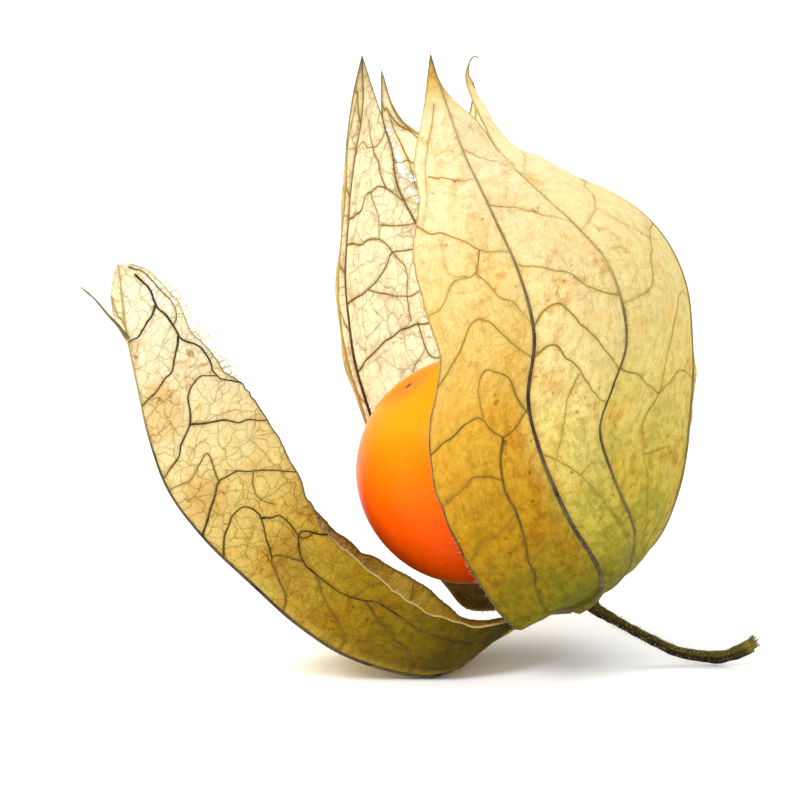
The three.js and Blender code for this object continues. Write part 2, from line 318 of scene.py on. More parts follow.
# "blown" is how far the left and the right half bulge. A vein is a radius, a darkness and its shares
# (across, along) of the sepal. Across runs from -1 at the left edge, over 0 at the midrib, to 1 at the right
# edge. Along runs from 0 at the stem to 1 at the tip, and colours and trims go by it.
sepals = {
    "front": {
        "left": rib(252, (7.9, -1.4, -12.4), (5.7, -3.4, -12.8), (4.2, -5, -13.1), (3, -6.4, -11.8),
                    (1.4, -8.5, -9.2), (0.3, -10.1, -7), (-0.8, -11.8, -4.7), (-3.1, -11.7, 0.9),
                    (-3.6, -10.6, 5.9), (-2.7, -9, 11.5), (-4.1, -7.2, 16.1), (-5, -5.5, 20.1),
                    (-4.5, -3.6, 24.6), (-4.9, -2.2, 27.4), (-4.1, 0, 31.8), frontTip),
        "midrib": rib(288, (11.4, -3.2, -9.9), (11.3, -5.8, -8), (10.2, -9.1, -5.2), (8.6, -11, -2.4),
                      (7, -12.2, 1.1), (5.7, -12.7, 4.5), (4.7, -12.4, 8.9), (5.2, -11.3, 14.3),
                      (3.9, -9.2, 19.3), (1.5, -6.1, 24.4), (-0.7, -2.9, 28.6), (-2.3, 0.2, 32.7), frontTip),
        "right": [*seamFrontRight, (0.6, 1.8, 30.5), (-1.6, 1.8, 32.5), (-2.8, 2.1, 34.2), frontTip],
        "blown": (1.2, 0.9),
        "ragged": (0.02, 0),
        "netStrength": 0.62,
        "veinSize": 0.9,
        "veins": [
            (0.07, 0.35, [(-0.75, 0.815), (-0.42, 0.8), (-0.2, 0.79), (0, 0.785)]),
            (0.06, 0.3, [(-0.5, 0.92), (-0.66, 0.86), (-0.84, 0.8), (-0.88, 0.74)]),
            (0.08, 0.4, [(-1, 0.755), (-0.75, 0.73), (-0.45, 0.71), (-0.27, 0.68), (0, 0.66)]),
            (0.08, 0.4, [(-0.27, 0.68), (-0.38, 0.65), (-0.62, 0.65), (-0.8, 0.63), (-1, 0.63)]),
            (0.06, 0.4, [(-0.47, 0.65), (-0.64, 0.67), (-0.62, 0.71)]),
            (0.07, 0.4, [(-0.38, 0.65), (-0.22, 0.61), (0, 0.55)]),
            (0.09, 0.5, [(-1, 0.53), (-0.75, 0.56), (-0.5, 0.59), (-0.3, 0.56), (-0.17, 0.53), (0, 0.5)]),
            (0.09, 0.6, [(0, 0.415), (-0.15, 0.47), (-0.38, 0.51), (-0.49, 0.5), (-0.42, 0.45)]),
            (0.1, 0.7, [(-1, 0.44), (-0.65, 0.45), (-0.42, 0.45), (-0.27, 0.41), (0, 0.43)]),
            (0.12, 0.8, [(-0.27, 0.41), (-0.39, 0.36), (-0.4, 0.31), (-0.5, 0.22), (-0.65, 0.13),
                        (-0.7, 0.04)]),
            (0.09, 0.6, [(-0.39, 0.36), (-0.57, 0.38), (-1, 0.37)]),
            (0.07, 0.5, [(-0.4, 0.31), (-0.6, 0.3), (-0.8, 0.3), (-1, 0.28)]),
            (0.07, 0.5, [(-0.5, 0.22), (-0.3, 0.24), (-0.15, 0.22), (0, 0.24)]),
            (0.08, 0.35, [(1, 0.53), (0.75, 0.55), (0.4, 0.6), (0.2, 0.62), (0, 0.64)]),
            (0.1, 0.45, [(0, 0.545), (0.12, 0.56), (0.25, 0.56), (0.48, 0.52), (0.73, 0.47), (1, 0.42)]),
            (0.09, 0.45, [(0, 0.5), (0.15, 0.51), (0.4, 0.47), (0.68, 0.41), (1, 0.37)]),
            (0.07, 0.3, [(0.48, 0.45), (0.38, 0.42), (0.3, 0.38), (0.1, 0.33)]),
            (0.07, 0.25, [(0, 0.74), (0.3, 0.72), (0.7, 0.68), (1, 0.66)]),
            (0.06, 0.25, [(0, 0.84), (0.4, 0.81), (1, 0.77)]),
            (0.07, 0.3, [(0, 0.36), (0.4, 0.3), (0.7, 0.21), (0.85, 0.1)]),
            (0.06, 0.3, [(0.4, 0.3), (0.7, 0.3), (1, 0.28)]),
        ],
        # the husk's own olive, cream and brown tones, with painted light: the right half is painted paler
        # than the left
        "colours": {
            "left": [(0, (94, 98, 4)), (0.1, (122, 120, 6)), (0.2, (160, 134, 10)), (0.32, (198, 150, 24)),
                     (0.44, (224, 178, 58)), (0.54, (234, 206, 120)), (0.64, (244, 226, 166)),
                     (0.78, (251, 243, 214)), (0.9, (251, 243, 214)), (0.945, (222, 198, 128)),
                     (0.98, (206, 178, 94)), (1, (120, 96, 60))],
            "right": [(0, (106, 102, 8)), (0.1, (148, 136, 24)), (0.22, (204, 188, 72)),
                     (0.36, (242, 226, 136)), (0.5, (251, 239, 180)), (0.64, (252, 242, 198)),
                     (0.8, (253, 247, 222)), (0.9, (251, 243, 214)), (0.945, (222, 198, 128)),
                     (0.98, (206, 178, 94)), (1, (120, 96, 60))],
        },
    },
    "right": {
        "left": [*seamFrontRight, (1.2, 5.3, 29.8), (0.1, 8, 31.9), (-0.35, 9.6, 33.4), *rightHook],
        "midrib": rib(0, (13.3, 2, -9.9), (15.1, 1.5, -8.2), (17, 0.9, -5.6), (18.7, 1.9, -0.8),
                      (19.4, 3, 4.7), (19.6, 4.3, 10.8), (19.1, 5.8, 15.4), (17.3, 7.4, 19.3),
                      (13.8, 8.9, 22.5), (8.1, 9.8, 24.9), (3.6, 10.2, 26.8), (1.5, 10.5, 30.1),
                      (0.1, 10.3, 32.6), (-0.2, 10.3, 33.6), *rightHook),
        "right": [*seamRightBack, (0.1, 11.5, 30), (0.3, 10.8, 32.6), (-0.1, 10.6, 33.6), *rightHook],
        "blown": (1.1, 1.2),
        "netStrength": 0.55,
        "thin": (0.14, 0.74),
        "lightThrough": (255, 253, 228),
        "veinSize": 0.82,
        "veinTone": 0.75,
        "midribTone": ((0, 0.8), (0.3, 0.6), (0.8, 0.45), (1, 0.5)),
        "veins": [
            (0.07, 0.25, [(0, 0.72), (-0.35, 0.69), (-0.7, 0.64), (-1, 0.62)]),
            (0.08, 0.3, [(0, 0.6), (-0.35, 0.57), (-0.7, 0.51), (-1, 0.5)]),
            (0.06, 0.25, [(-0.35, 0.57), (-0.55, 0.6), (-0.7, 0.64)]),
            (0.09, 0.45, [(-1, 0.41), (-0.8, 0.395), (-0.5, 0.36), (-0.3, 0.38), (0, 0.36)]),
            (0.07, 0.3, [(-0.5, 0.36), (-0.5, 0.43), (-0.35, 0.48), (0, 0.48)]),
            (0.09, 0.3, [(-0.5, 0.36), (-0.65, 0.31), (-0.66, 0.25), (-0.72, 0.19), (-0.82, 0.12)]),
            (0.07, 0.3, [(-0.65, 0.27), (-0.4, 0.27), (-0.2, 0.24), (0, 0.25)]),
            (0.06, 0.25, [(0, 0.84), (-0.4, 0.8), (-1, 0.74)]),
        ],
        "colours": {
            "left": [(0, (112, 108, 12)), (0.1, (158, 148, 38)), (0.24, (214, 194, 74)),
                     (0.38, (242, 224, 130)), (0.52, (251, 240, 178)), (0.66, (254, 247, 206)),
                     (0.8, (254, 249, 220)), (0.9, (252, 243, 208)), (0.96, (246, 224, 174)),
                     (1, (196, 158, 110))],
            "right": [(0, (102, 102, 10)), (0.12, (138, 134, 22)), (0.26, (196, 182, 58)),
                      (0.4, (238, 222, 122)), (0.54, (250, 238, 170)), (0.68, (254, 247, 202)),
                      (0.82, (254, 248, 218)), (0.9, (252, 243, 208)), (0.96, (246, 224, 174)),
                      (1, (196, 158, 110))],
        },
    },
    "back": {
        "left": [*seamRightBack, (-4.3, 14, 27.5), (-6.5, 14.4, 29.4), backTip],
        "midrib": rib(72, (11.4, 5.4, -11.8), (11.4, 10, -10.6), (11.4, 14.6, -7.4), (10.9, 18.6, -1.4),
                      (9, 20.8, 6.6), (5.8, 20.9, 14), (1.1, 19.2, 20.8), (-3.9, 16.8, 26.2),
                      (-6.6, 15.5, 29.6), backTip),
        "right": [*seamBackLeft, (-7.8, 14.9, 30.8), backTip],
        "blown": (1.2, 1.2),
        "veins": [],
        # the pale upper part is partly painted light, set against the shade inside the husk
        "colours": {
            "left": [(0, (104, 102, 10)), (0.14, (134, 126, 18)), (0.3, (196, 178, 56)),
                     (0.5, (240, 222, 132)), (0.75, (253, 246, 210)), (0.9, (252, 240, 200)),
                     (1, (242, 212, 156))],
            "right": [(0, (104, 102, 10)), (0.14, (140, 130, 24)), (0.3, (206, 186, 72)),
                     (0.5, (244, 230, 156)), (0.75, (253, 247, 220)), (0.88, (252, 241, 202)),
                     (1, (242, 210, 152))],
        },
        "thin": (0.15, 0.95),
        "lightThrough": (255, 249, 226),
        "stains": [((0.74, 0.8), (0.2, 0.04), (176, 170, 190), 0.8)],
        "veinSize": 0.8,
        "veinTone": 0.55,
    },
    "left": {
        "left": [*seamBackLeft, (-8.5, 12.8, 31.6), leftTip],
        "midrib": rib(144, (6.2, 5.2, -13.2), (2.2, 8.2, -12.7), (-2.2, 10.4, -10.8), (-6, 11.4, -6.3),
                      (-8.1, 10.3, 0.4), (-10.2, 8.9, 8), (-11, 8.6, 14.5), (-10.7, 9.1, 20.9),
                      (-10.2, 9.8, 25.7), (-9.5, 10.5, 30.1), leftTip),
        "right": rib(178, (6.7, 2.3, -13), (3, 3.4, -13.5), (-0.2, 4.6, -13.7), (-1.9, 5.9, -12.1),
                     (-3.5, 6.8, -10.3), (-5.8, 7.8, -7.3), (-7.8, 8.2, -1.9), (-9.5, 6.6, 4.1),
                     (-11, 5.5, 9.6), (-11.6, 5.4, 15), (-11.3, 6.3, 19.8), (-10.9, 7.4, 24.1),
                     (-10.8, 8.6, 27.9), (-10.3, 10, 31.7), leftTip),
        "blown": (1.2, 0.5),
        "veins": [
            (0.1, 0.75, [(0, 0.77), (-0.2, 0.765), (-0.4, 0.77), (-0.6, 0.785), (-0.85, 0.78), (-1, 0.75)]),
            (0.08, 0.6, [(-0.85, 0.78), (-0.75, 0.82), (-0.6, 0.85), (-0.5, 0.9)]),
            (0.08, 0.5, [(-0.65, 0.73), (-1, 0.71)]),
            (0.07, 0.5, [(-0.6, 0.785), (-0.65, 0.74), (-0.6, 0.71)]),
            (0.1, 0.6, [(0, 0.735), (-0.3, 0.72), (-0.6, 0.71), (-0.7, 0.68), (-0.75, 0.65), (-0.68, 0.61),
                        (-0.65, 0.575)]),
            (0.11, 0.75, [(0, 0.65), (-0.32, 0.65), (-0.52, 0.66), (-0.7, 0.68), (-1, 0.67)]),
            (0.08, 0.5, [(-0.32, 0.65), (-0.57, 0.62), (-0.68, 0.61), (-1, 0.62)]),
            (0.12, 0.8, [(0, 0.55), (-0.3, 0.56), (-0.57, 0.57), (-0.8, 0.56), (-1, 0.55)]),
            (0.08, 0.55, [(-0.7, 0.57), (-0.7, 0.53), (-0.85, 0.5), (-1, 0.5)]),
            (0.09, 0.6, [(0, 0.44), (-0.4, 0.46), (-0.7, 0.45), (-1, 0.46)]),
            (0.07, 0.5, [(-0.4, 0.46), (-0.55, 0.5), (-0.7, 0.53)]),
            (0.09, 0.6, [(0, 0.33), (-0.4, 0.36), (-0.7, 0.35), (-1, 0.36)]),
            (0.08, 0.6, [(0, 0.22), (-0.4, 0.25), (-1, 0.22)]),
            (0.07, 0.5, [(0, 0.86), (-0.3, 0.87), (-0.6, 0.85), (-1, 0.87)]),
        ],
        # the near-white middle and the brighter yellow low on the left half are partly painted light, set
        # against the shade inside the husk and under the berry
        "colours": {
            "left": [(0, (150, 130, 14)), (0.14, (234, 200, 60)), (0.25, (240, 212, 90)),
                     (0.34, (230, 210, 128)), (0.42, (246, 237, 194)), (0.52, (253, 249, 230)),
                     (0.72, (254, 251, 236)), (0.82, (240, 222, 170)), (0.92, (230, 202, 132)),
                     (0.98, (200, 158, 84)), (1, (112, 86, 60))],
            "right": [(0, (104, 90, 10)), (0.14, (128, 108, 20)), (0.24, (166, 142, 46)),
                     (0.4, (222, 202, 122)), (0.6, (240, 222, 150)), (0.75, (240, 216, 142)),
                     (0.92, (230, 200, 122)), (0.98, (200, 158, 84)), (1, (112, 86, 60))],
        },
        "thin": (0.12, 0.92),
        "thinFrom": (0.25, 0.5),
        "ragged": (0, 0.03),
        "lightThrough": (255, 250, 226),
        "veinSize": 0.74,
        "veinTone": 0.62,
        "netStrength": 0.85,
        "netEverywhere": True,
    },
    "peeled": {
        "left": rib(186, (6.7, 1.3, -13), (3.2, 2.9, -14.2), (-0.2, 4.3, -14.7), (-2.1, 6.4, -13.7),
                    (-4.3, 7.6, -12.2), (-7, 8, -10.7), (-10.4, 7, -8.4), (-13.5, 5.5, -5.1),
                    (-16.2, 4.1, -0.9), (-19.4, 3.3, 3.8), (-22.7, 2.4, 8.6), (-26.4, 1.4, 11),
                    (-29.4, 0.6, 13.2), (-30.9, 1.6, 16), (-30.6, 3.6, 18.6)),
        "midrib": rib(216, (6.9, -0.4, -12.8), (4.2, -1.8, -13.2), (2.8, -2.9, -13.6), (1.6, -4.1, -14.3),
                      (0.5, -5, -15.3), (-1.2, -5.6, -16.4), (-3.5, -6, -17), (-7, -6.4, -16.4),
                      (-11.3, -7.2, -14.6), (-15.1, -7.6, -11.9), (-19.1, -7.9, -8.1), (-22.9, -7.7, -4.4),
                      (-26, -7.2, -0.3), (-27.7, -6.1, 4), (-28.8, -4.4, 8.3), (-29.9, -1.8, 12.9),
                      (-30.8, 1.5, 18.6)),
        "right": rib(244, (7.8, -0.6, -12.1), (5.7, -2, -12.3), (4.2, -3.6, -12.6), (3, -4.8, -12.5),
                     (1.7, -5.9, -12.5), (0.4, -6.5, -12.5), (-1.1, -7, -11.9), (-2.7, -7.3, -11.3),
                     (-5.4, -7.4, -9.9), (-8.3, -7.3, -7.6), (-11.3, -7.2, -5), (-12.9, -7, -3.3),
                     (-14.3, -6.4, -0.3), (-16.5, -5.3, 3.9), (-18.9, -4.1, 7.5), (-22.2, -2.3, 11.2),
                     (-24.4, -0.6, 14.4), (-26.4, 1, 16.6), (-28.1, 3.5, 18.3)),
        "blown": (3.5, 1.0),
        "crest": (0.66, 0.5),
        "veins": [
            (0.1, 0.7, [(0.55, 0.985), (0.8, 0.965), (0.87, 0.93), (0.9, 0.89), (0.76, 0.865)]),
            (0.13, 0.9, [(0.5, 0.97), (0.68, 0.935), (0.62, 0.91), (0.73, 0.885), (0.8, 0.85), (0.95, 0.81),
                         (0.9, 0.77), (1, 0.74)]),
            (0.11, 0.85, [(0.62, 0.91), (0.33, 0.885), (0, 0.88)]),
            (0.11, 0.85, [(0.8, 0.85), (0.55, 0.82), (0.25, 0.8), (0, 0.79)]),
            (0.11, 0.8, [(0.4, 0.73), (0.65, 0.71), (0.9, 0.68), (1, 0.67)]),
            (0.1, 0.8, [(0.4, 0.73), (0.48, 0.755), (0.65, 0.78), (0.9, 0.77)]),
            (0.1, 0.8, [(0.4, 0.73), (0.15, 0.7), (0, 0.69)]),
            (0.11, 0.85, [(0, 0.6), (0.2, 0.62), (0.38, 0.64), (0.53, 0.64), (0.8, 0.61), (1, 0.58)]),
            (0.08, 0.7, [(0.38, 0.64), (0.43, 0.68), (0.18, 0.67), (0, 0.675)]),
            (0.08, 0.7, [(0.68, 0.625), (0.6, 0.59), (0.68, 0.565)]),
            (0.11, 0.85, [(0, 0.56), (0.3, 0.595), (0.45, 0.59), (0.5, 0.565), (0.35, 0.515)]),
            (0.1, 0.8, [(0.5, 0.565), (0.7, 0.54), (0.73, 0.51), (0.95, 0.49)]),
            (0.11, 0.85, [(1, 0.475), (0.85, 0.5), (0.73, 0.51), (0.6, 0.48), (0.58, 0.45), (0.66, 0.39),
                          (0.78, 0.34), (0.75, 0.28), (0.7, 0.2), (0.6, 0.1)]),
            (0.1, 0.75, [(0.6, 0.48), (0.5, 0.5), (0.35, 0.515), (0.2, 0.47), (0, 0.45)]),
            (0.09, 0.75, [(0.7, 0.37), (0.58, 0.33), (0.45, 0.29), (0.3, 0.27), (0, 0.26)]),
            (0.08, 0.7, [(0.58, 0.45), (0.4, 0.41), (0.25, 0.37), (0, 0.36)]),
            (0.08, 0.7, [(0.66, 0.39), (0.85, 0.38), (1, 0.36)]),
        ],
        # over the paper's own tones, the right half is painted near-black olive near the stem as shade on
        # the belly that lies on the floor, and the left half paler as the lit inside
        "colours": {
            "left": [(0, (156, 136, 18)), (0.12, (208, 180, 46)), (0.25, (232, 204, 78)),
                     (0.42, (234, 206, 98)), (0.56, (234, 214, 128)), (0.7, (240, 228, 178)),
                     (0.86, (252, 247, 224)), (1, (242, 230, 196))],
            "right": [(0, (64, 56, 1)), (0.12, (68, 58, 1)), (0.25, (98, 82, 3)), (0.4, (160, 129, 18)),
                     (0.52, (204, 174, 60)), (0.62, (232, 212, 126)), (0.72, (248, 238, 192)),
                     (0.82, (254, 251, 236)), (0.94, (254, 250, 236)), (1, (244, 230, 196))],
        },
        "thin": (0.06, 0.8),
        "thinFrom": (0.3, 0.78),
        "netStrength": 1.2,
        "stains": [
            ((0.2, 0.77), (0.24, 0.05), (212, 182, 92), 0.8),
            ((0.22, 0.635), (0.22, 0.035), (220, 190, 98), 0.7),
            ((0.5, 0.5), (0.3, 0.04), (214, 196, 110), 0.6),
            ((0.78, 0.82), (0.05, 0.008), (160, 110, 56), 0.8),
        ],
        "veinSize": 0.84,
        "veinTone": 1.1,
        "netEverywhere": True,
        "end": 0.99,
        "trim": {
            "left": ((0, 1), (0.88, 1), (0.94, 0.9), (0.975, 0.72), (0.99, 0.4)),
            "right": ((0, 1), (0.74, 1), (0.77, 0.93), (0.81, 0.97), (0.85, 0.85), (0.87, 0.88), (0.9, 0.93),
                      (0.93, 0.9), (0.965, 0.83), (0.98, 0.66), (0.99, 0.35)),
        },
        "ragged": (0.015, 0.04),
        "lightThrough": (255, 251, 234),
        "midribTone": ((0, 0.8), (0.3, 0.95), (0.72, 0.9), (0.8, 0.45), (1, 0.3)),
    },
}
for name, shape in sepals.items():
    sepals[name] = {**usualSepal, **shape}


def sideVeins(side, seed, count=9, first=0.12, last=0.9):
    # leave the midrib, lean towards the tip and loop into the next one
    draw = random.Random(seed)
    veins, previous = [], None
    for step in range(count):
        start = first + (last - first) * step / (count - 1) + draw.uniform(-0.012, 0.012)
        lean = draw.uniform(0.03, 0.05)
        knee = (side * draw.uniform(0.5, 0.62), start + lean)
        veins.append((0.09, 0.5, [(0, start), (side * 0.28, start + lean * 0.4), knee,
                                  (side * 0.8, start + lean * 1.1), (side, start + lean * 1.5)]))
        if previous:
            bow = side * draw.uniform(0.6, 0.75)
            veins.append((0.07, 0.45, [previous, (bow, (previous[1] + knee[1]) / 2), knee]))
        previous = knee
    return veins


unseenHalves = (("right", 1, 3), ("back", -1, 5), ("back", 1, 7), ("left", 1, 11), ("peeled", -1, 13))
for name, side, seed in unseenHalves:
    sepals[name]["veins"] += sideVeins(side, seed)


def risen(value, rate, least=0.0):
    # grows in step with the value, and stays at 1 past 1 / rate
    return np.clip(value * rate, least, 1)


class Sepal:
    # places a point of the husk's paper by its shares across and along

    def __init__(self, shape):
        self.left, self.midrib, self.right = (smoothLine(shape[k]) for k in ("left", "midrib", "right"))
        self.blown, self.crest, self.ragged = shape["blown"], shape["crest"], shape["ragged"]
        self.trim, self.end = shape["trim"], shape["end"]

    def flat(self, across, along):
        spine = lineAt(self.midrib, along)
        edge = np.where((across < 0)[..., None], lineAt(self.left, along), lineAt(self.right, along))
        return spine + (edge - spine) * np.abs(across)[..., None]

    def outward(self, across, along):
        step = 0.01
        side = np.where(across < 0, -1.0, 1.0)
        a = np.clip(np.abs(across), 0.1, 1 - step) * side
        b = np.clip(along, step, 1 - step)
        over = (self.flat(a + step * side, b) - self.flat(a, b)) * side[..., None]
        up = self.flat(a, b + step) - self.flat(a, b - step)
        normal = np.cross(over, up)
        return normal / (np.linalg.norm(normal, axis=-1, keepdims=True) + 1e-12)

    def kept(self, across, along):
        # a torn edge stops short of the full width here and there
        for side, name, rag, seed in ((-1, "left", self.ragged[0], 2.0), (1, "right", self.ragged[1], 5.0)):
            limit = np.interp(along, *zip(*self.trim.get(name, ((0, 1), (1, 1)))))
            if rag:
                coarse, fine = (
                    np.array([noise.noise(Vector((a * count, seed, plane))) for a in along.ravel()])
                    for count, plane in zip(husk["tears"], (0, 4))
                )
                wear = np.clip(coarse + 0.4 * fine, -0.2, 1).reshape(along.shape) + 0.2
                limit = limit * (1 - rag * wear * risen(along, 5))
            across = np.where(across * side > 0, across * limit, across)
        return across

    def place(self, across, along):
        # the spots, and the ways that the paper faces there
        along = np.asarray(along, float)
        across = self.kept(np.asarray(across, float), along)
        u, swell = np.abs(across), np.sin(np.pi * np.clip(along, 0, 1)) ** 1.1
        crest = np.where(across < 0, *self.crest)
        power = crest / (1 - crest)
        bulge = u**power * (1 - u) / (crest**power * (1 - crest)) * np.where(across < 0, *self.blown)
        spot, normal = self.flat(across, along), self.outward(across, along)
        calm = risen(1 - u, 5) * risen(u, 6, 0.25) * risen(along, 8) * risen(1 - along, 12)
        waves = np.array([noise.noise(Vector(p) / husk["waveLength"]) for p in spot.reshape(-1, 3)])
        rise = bulge * swell + husk["waves"] * calm * waves.reshape(u.shape)
        return spot + normal * rise[..., None], normal

    def lineAlong(self, across, share):
        return self.place(np.full(len(share), float(across)), share)[0]

    def vein(self, points, steps=34):
        # the vein's points on the paper, wandering a little off the smooth line
        shares = smoothLine(points, steps)
        held = np.sin(np.pi * np.linspace(0, 1, steps))
        for column, size in ((0, 0.035), (1, 0.007)):
            wander = [noise.noise(Vector((a * 7, b * 30, 3.0 + column))) for a, b in shares]
            shares[:, column] += size * held * np.array(wander)
        return self.place(shares[:, 0], np.minimum(shares[:, 1], self.end))[0]


def nearness(spots, lines, batch=2000):
    # distance from every spot to the nearest of the lines
    starts = np.vstack([line[:-1] for line in lines])
    ends = np.vstack([line[1:] for line in lines])
    reach = ends - starts
    size = np.sum(reach**2, axis=1) + 1e-12
    best = []
    for part in np.array_split(spots, max(1, len(spots) // batch)):
        gap = part[:, None] - starts[None]
        share = np.clip(np.sum(gap * reach, axis=2) / size, 0, 1)
        best.append(np.min(np.sum((gap - share[..., None] * reach) ** 2, axis=2), axis=1))
    return np.sqrt(np.concatenate(best))


paperLook = {
    "net": ((2.9, 0.045, 0.66), (1.25, 0.03, 0.62), (0.55, 0.018, 0.3)),  # cell size, half width, darkness
    "netDrift": 1.1,              # how far the net strays from straight lines
    "netColour": (164, 150, 72),
    "patterns": {                 # scale, detail and roughness
        "age": (0.22, 4.0, 0.6),
        "mottle": (1.1, 4.0, 0.65),
        "grain": (6.0, 3.0, 0.6),
        "blush": (0.34, 5.0, 0.7),
    },
    "stains": {                   # colour and strength
        "ochre": ((232, 192, 124), 0.55),
        "warm": ((250, 212, 138), 0.5),
        "green": ((188, 206, 130), 0.55),
        "mottle": ((206, 186, 130), 0.42),
        "grain": ((186, 168, 116), 0.4),
        "streaks": ((176, 160, 96), 0.4),
        "specks": ((150, 100, 50), 0.7),
    },
    "paintedVeinShade": (190, 170, 96),       # painted shade beside the veins and ribs
    "paintedVeinShadeWidth": 0.3,
    "roughness": 0.55,
    "specular": 0.07,
    "relief": 0.8,
    "reliefDepth": 0.09,
}


def fineNet(f, place):
    # darkness of the finest veins, and the furrows along them
    lines, furrows = None, None
    for size, width, strength in paperLook["net"]:
        cells = f.node("TexVoronoi", {"feature": "DISTANCE_TO_EDGE", "voronoi_dimensions": "2D"},
                       Vector=place, Scale=1 / size, Randomness=0.9)
        gap = f.out(cells, "Distance") * size
        line = (1 - f.between(gap, width * 0.5, width * 2.2)) * strength
        furrow = (1 - f.between(gap, 0.0, width * 5)) * strength
        lines = line if lines is None else lines.larger(line)
        furrows = furrow if furrows is None else furrows.larger(furrow)
    return lines, furrows


def paperFinish(name, shape):
    f = Finish("husk paper, " + name)
    flatMap = f.out(f.node("UVMap", {"uv_map": "flat"}))       # millimetres on the paper
    shareMap = f.node("SeparateXYZ", Vector=f.out(f.node("UVMap", {"uv_map": "shares"})))
    across, along = f.out(shareMap, "X"), f.out(shareMap, "Y")
    near = f.attribute("veinNear")
    drift = f.node("TexNoise", {"noise_dimensions": "2D"}, Vector=flatMap, Scale=0.7, Detail=2.0)
    centred = f.vectorMath("SUBTRACT", f.out(drift, "Color"), (0.5, 0.5, 0.5))
    pushed = f.node("VectorMath", {"operation": "SCALE"}, at0=centred, Scale=paperLook["netDrift"])
    bent = f.vectorMath("ADD", flatMap, f.out(pushed))

    lines, furrows = fineNet(f, bent)
    if not shape["netEverywhere"]:
        lines = lines * (f.between(f.noise(flatMap, 0.16, 2.0, spread="2D"), 0.3, 0.6) * 0.75 + 0.25)
    lines = lines * (f.between(along, 0.25, 0.6) * 0.82 + 0.18) * shape["netStrength"]

    patterns = paperLook["patterns"].values()
    age, mottle, grain, blush = (f.noise(flatMap, *pattern, "2D") for pattern in patterns)
    striae = f.noise(f.vectorMath("MULTIPLY", bent, (3.2, 0.3, 1.0)), 1.0, 3.0, 0.6, "2D")
    spots = f.node("TexVoronoi", {"feature": "F1", "voronoi_dimensions": "2D"}, Vector=bent, Scale=0.55)
    ochre = f.between(age + (mottle - 0.5) * 0.5, 0.54, 0.74)
    warm = f.between(blush, 0.46, 0.72)
    green = f.between(age - (mottle - 0.5) * 0.7, 0.52, 0.36) * (1 - f.between(along, 0.1, 0.6))
    streaks = f.between(striae, 0.45, 0.8) * (1 - f.between(along, 0.35, 0.8) * 0.7)
    specks = (1 - f.between(f.out(spots, "Distance"), 0.04, 0.1)) * f.between(age, 0.5, 0.6)
    # painted shade: darkens the paper beside the veins and ribs, and lets less light through there
    paintedVeinShade = near * near * 0.4

    # the two halves' ramps hold painted light and shade as well as the paper's own tones
    left, right = (f.ramp(along, shape["colours"][side]) for side in ("left", "right"))
    colour = f.blend(f.between(across, 0.4, 0.6), left, right)
    for kind, where in (
        ("ochre", ochre),
        ("warm", warm),
        ("green", green),
        ("mottle", f.between(mottle, 0.35, 0.75)),
        ("grain", f.between(grain, 0.45, 0.75)),
        ("streaks", streaks),
        ("specks", specks),
    ):
        shade, strength = paperLook["stains"][kind]
        colour = f.stain(where * strength, colour, shade)
    for at, reach, shade, strength in shape["stains"]:
        aside = (across - (at[0] + 1) / 2) / (reach[0] / 2)
        above = (along - at[1]) / reach[1]
        within = 1 - f.between(aside * aside + above * above + (mottle - 0.5) * 2.4, 0.3, 1.2)
        colour = f.stain(within * strength, colour, shade)
    colour = f.stain(paintedVeinShade, colour, paperLook["paintedVeinShade"])
    colour = f.stain(lines, colour, paperLook["netColour"])

    height = furrows * -0.6 + grain * 0.5 + mottle * 0.9 + striae * 0.7
    bump = f.node("Bump", Strength=paperLook["relief"], Distance=paperLook["reliefDepth"] * mm,
                  Height=height)
    shader = f.node("BsdfPrincipled", Base_Color=colour, Normal=f.out(bump),
                    Roughness=(paperLook["roughness"] + (grain - 0.5) * 0.2 + ochre * 0.08).held(),
                    Specular_IOR_Level=paperLook["specular"])
    through = f.node("BsdfTranslucent", Color=tint(*shape["lightThrough"]))
    atStem, atTip = shape["thin"]
    opening = f.between(along, *shape["thinFrom"]) * (1 - f.between(along, 0.9, 0.99) * 0.3)
    share = (opening * (atTip - atStem) + atStem) * (1 - (warm + mottle * 0.6) * 0.22)
    share = share * (1 - (lines * 0.8).larger(paintedVeinShade * 0.6))
    return f.finished(f.node("MixShader", at0=share, at1=f.out(shader), at2=f.out(through)))


# Patches worn down to the net: place, reach, size of the net's cells, thickness of its threads, and how
# many of the cells are kept, from none at -1 to all at 1.
wornPatches = {
    "back": [
        {"at": (0.8, 0.85), "reach": (0.085, 0.028), "cell": 9.0, "thread": 0.01, "kept": -2.0},
        {"at": (0.76, 0.8), "reach": (0.14, 0.035), "cell": 0.6, "thread": 0.22, "kept": 0.15},
        {"at": (0.85, 0.905), "reach": (0.12, 0.03), "cell": 0.6, "thread": 0.22, "kept": -0.3},
    ],
    "peeled": [
        {"at": (0.8, 0.925), "reach": (0.2, 0.045), "cell": 0.75, "thread": 0.2, "kept": -0.2},
    ],
}


